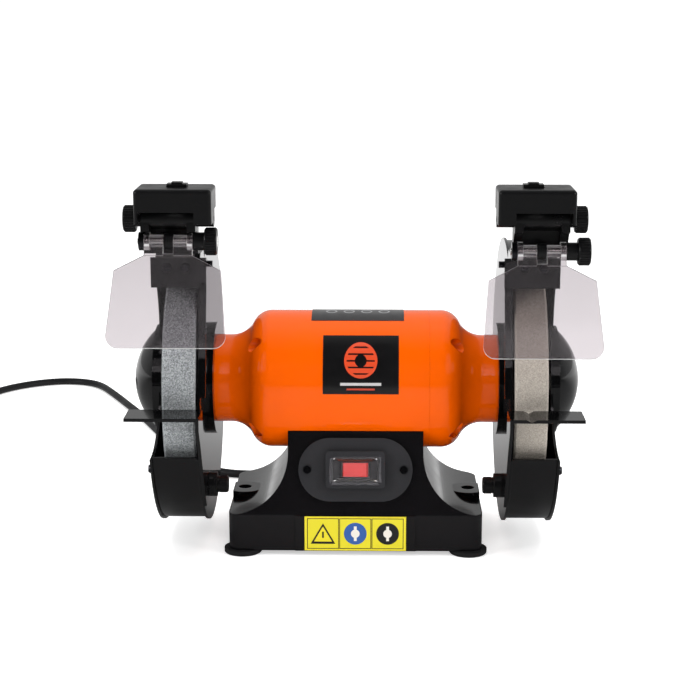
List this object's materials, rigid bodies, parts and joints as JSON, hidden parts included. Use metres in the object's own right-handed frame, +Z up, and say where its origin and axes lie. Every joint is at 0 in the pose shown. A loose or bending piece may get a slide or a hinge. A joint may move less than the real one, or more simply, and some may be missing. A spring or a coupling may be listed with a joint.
{
  "type": "bench grinder",
  "caption": "Double-ended bench grinder: motor on a flared pedestal base, guarded abrasive wheels, tool rests, eye shields with clip-on lamps, and a mains cord.",
  "frame": {"origin": "on the bench surface, below the middle of the outline without the cord; the spindle axis is 8.4 mm behind it", "axes": "+Z up, +X along the spindle to the right wheel as the user sees it, +Y away from the user"},
  "size_m": [0.6835, 0.6527, 0.2997],
  "materials": {
    "base_enamel": "satin",
    "motor_enamel": "gloss",
    "guard_enamel": "gloss",
    "zinc_steel": "satin",
    "black_screw": "satin",
    "spindle_steel": "satin",
    "core_steel": "matte",
    "copper_winding": "satin",
    "bearing_steel": "polished",
    "coarse_abrasive": "matte",
    "fine_abrasive": "matte",
    "blotter_paper": "matte",
    "foot_rubber": "matte",
    "black_plastic": "matte",
    "textured_plastic": "matte",
    "rocker_plastic": "gloss",
    "clear_silicone": "gloss",
    "clear_polycarbonate": "gloss",
    "label_yellow": "satin",
    "label_black": "gloss",
    "capacitor_can": "satin",
    "cord_pvc": "satin"
  },
  "bodies": {
    "frame": {"base": "base_enamel", "base_cover": "zinc_steel", "rubber_feet": "foot_rubber", "capacitor": "capacitor_can", "terminal_block": "black_plastic", "switch_plate": "textured_plastic", "switch_plate_screws": "black_screw", "switch_body": "black_plastic", "switch_boot": "clear_silicone", "hazard_label": "label_yellow", "name_plate": "label_black", "top_label": "label_black", "motor_housing": "motor_enamel", "end_bell": "motor_enamel", "housing_bolts": "zinc_steel", "stator_core": "core_steel", "stator_windings": "copper_winding", "bearing_outer_rings": "bearing_steel", "bearing_balls": "bearing_steel", "cover_screws": "black_screw", "guard_screws": "black_screw", "deflector_screws": "black_screw", "bracket_fasteners": "black_screw", "strain_relief": "cord_pvc", "power_cord": "cord_pvc", "cord_coil": "cord_pvc", "plug": "cord_pvc", "left_inner_guard": "guard_enamel", "left_outer_cover": "guard_enamel", "left_lamp_bracket": "black_plastic", "right_inner_guard": "guard_enamel", "right_outer_cover": "guard_enamel", "right_lamp_bracket": "black_plastic"},
    "spindle": {"spindle_shaft": "spindle_steel", "rotor": "core_steel", "left_wheel": "coarse_abrasive", "right_wheel": "fine_abrasive", "wheel_flanges": "zinc_steel", "wheel_blotters": "blotter_paper", "spindle_nuts": "zinc_steel", "bearing_inner_rings": "bearing_steel"},
    "rocker_button": {"rocker": "rocker_plastic"},
    "left_shield": {"left_eye_shield": "clear_polycarbonate"},
    "left_shield_clamp": {"left_shield_knob": "black_plastic"},
    "left_lamp": {"left_lamp_housing": "black_plastic", "left_lamp_lens": "clear_polycarbonate"},
    "left_lamp_slider": {"left_lamp_switch": "black_plastic"},
    "left_lamp_clamp": {"left_lamp_knob": "black_plastic"},
    "left_rest": {"left_tool_rest": "guard_enamel"},
    "left_rest_clamp": {"left_rest_knob": "black_plastic"},
    "left_deflector": {"left_spark_deflector": "guard_enamel"},
    "right_shield": {"right_eye_shield": "clear_polycarbonate"},
    "right_shield_clamp": {"right_shield_knob": "black_plastic"},
    "right_lamp": {"right_lamp_housing": "black_plastic", "right_lamp_lens": "clear_polycarbonate"},
    "right_lamp_slider": {"right_lamp_switch": "black_plastic"},
    "right_lamp_clamp": {"right_lamp_knob": "black_plastic"},
    "right_rest": {"right_tool_rest": "guard_enamel"},
    "right_rest_clamp": {"right_rest_knob": "black_plastic"},
    "right_deflector": {"right_spark_deflector": "guard_enamel"}
  },
  "joints": [
    {"name": "spindle_spin", "type": "hinge", "parent": "frame", "child": "spindle", "pos_m": [0, 0.0084, 0.13], "axis": [1, 0, 0], "continuous": true},
    {"name": "rocker_tilt", "type": "hinge", "parent": "frame", "child": "rocker_button", "pos_m": [0, -0.04493, 0.06813], "axis": [0, 0.253, 0.9675], "range_deg": [0, 14]},
    {"name": "left_shield_hinge", "type": "hinge", "parent": "frame", "child": "left_shield", "pos_m": [-0.139, -0.0801, 0.255], "axis": [-1, 0, 0], "range_deg": [-12, 60]},
    {"name": "left_shield_knob_turn", "type": "hinge", "parent": "frame", "child": "left_shield_clamp", "pos_m": [-0.112, -0.0801, 0.255], "axis": [1, 0, 0], "range_deg": [0, 360]},
    {"name": "left_lamp_hinge", "type": "hinge", "parent": "frame", "child": "left_lamp", "pos_m": [-0.139, -0.0801, 0.272], "axis": [-1, 0, 0], "range_deg": [-20, 35]},
    {"name": "left_lamp_switch_slide", "type": "slide", "parent": "left_lamp", "child": "left_lamp_slider", "axis": [-1, 0, 0], "range_m": [0, 0.004]},
    {"name": "left_lamp_knob_turn", "type": "hinge", "parent": "frame", "child": "left_lamp_clamp", "pos_m": [-0.1675, -0.0801, 0.272], "axis": [-1, 0, 0], "range_deg": [0, 360]},
    {"name": "left_rest_slide", "type": "slide", "parent": "frame", "child": "left_rest", "axis": [0, -1, 0], "range_m": [-0.0015, 0.012]},
    {"name": "left_rest_knob_turn", "type": "hinge", "parent": "frame", "child": "left_rest_clamp", "pos_m": [-0.105, -0.0516, 0.058], "axis": [1, 0, 0], "range_deg": [0, 360]},
    {"name": "left_deflector_slide", "type": "slide", "parent": "frame", "child": "left_deflector", "axis": [0, 0, 1], "range_m": [-0.003, 0.003]},
    {"name": "right_shield_hinge", "type": "hinge", "parent": "frame", "child": "right_shield", "pos_m": [0.139, -0.0801, 0.248], "axis": [-1, 0, 0], "range_deg": [-12, 60]},
    {"name": "right_shield_knob_turn", "type": "hinge", "parent": "frame", "child": "right_shield_clamp", "pos_m": [0.166, -0.0801, 0.248], "axis": [1, 0, 0], "range_deg": [0, 360]},
    {"name": "right_lamp_hinge", "type": "hinge", "parent": "frame", "child": "right_lamp", "pos_m": [0.139, -0.0801, 0.272], "axis": [-1, 0, 0], "range_deg": [-20, 35]},
    {"name": "right_lamp_switch_slide", "type": "slide", "parent": "right_lamp", "child": "right_lamp_slider", "axis": [1, 0, 0], "range_m": [0, 0.004]},
    {"name": "right_lamp_knob_turn", "type": "hinge", "parent": "frame", "child": "right_lamp_clamp", "pos_m": [0.1675, -0.0801, 0.272], "axis": [1, 0, 0], "range_deg": [0, 360]},
    {"name": "right_rest_slide", "type": "slide", "parent": "frame", "child": "right_rest", "axis": [0, -1, 0], "range_m": [-0.0015, 0.012]},
    {"name": "right_rest_knob_turn", "type": "hinge", "parent": "frame", "child": "right_rest_clamp", "pos_m": [0.105, -0.0516, 0.058], "axis": [-1, 0, 0], "range_deg": [0, 360]},
    {"name": "right_deflector_slide", "type": "slide", "parent": "frame", "child": "right_deflector", "axis": [0, 0, 1], "range_m": [-0.003, 0.003]}
  ]
}
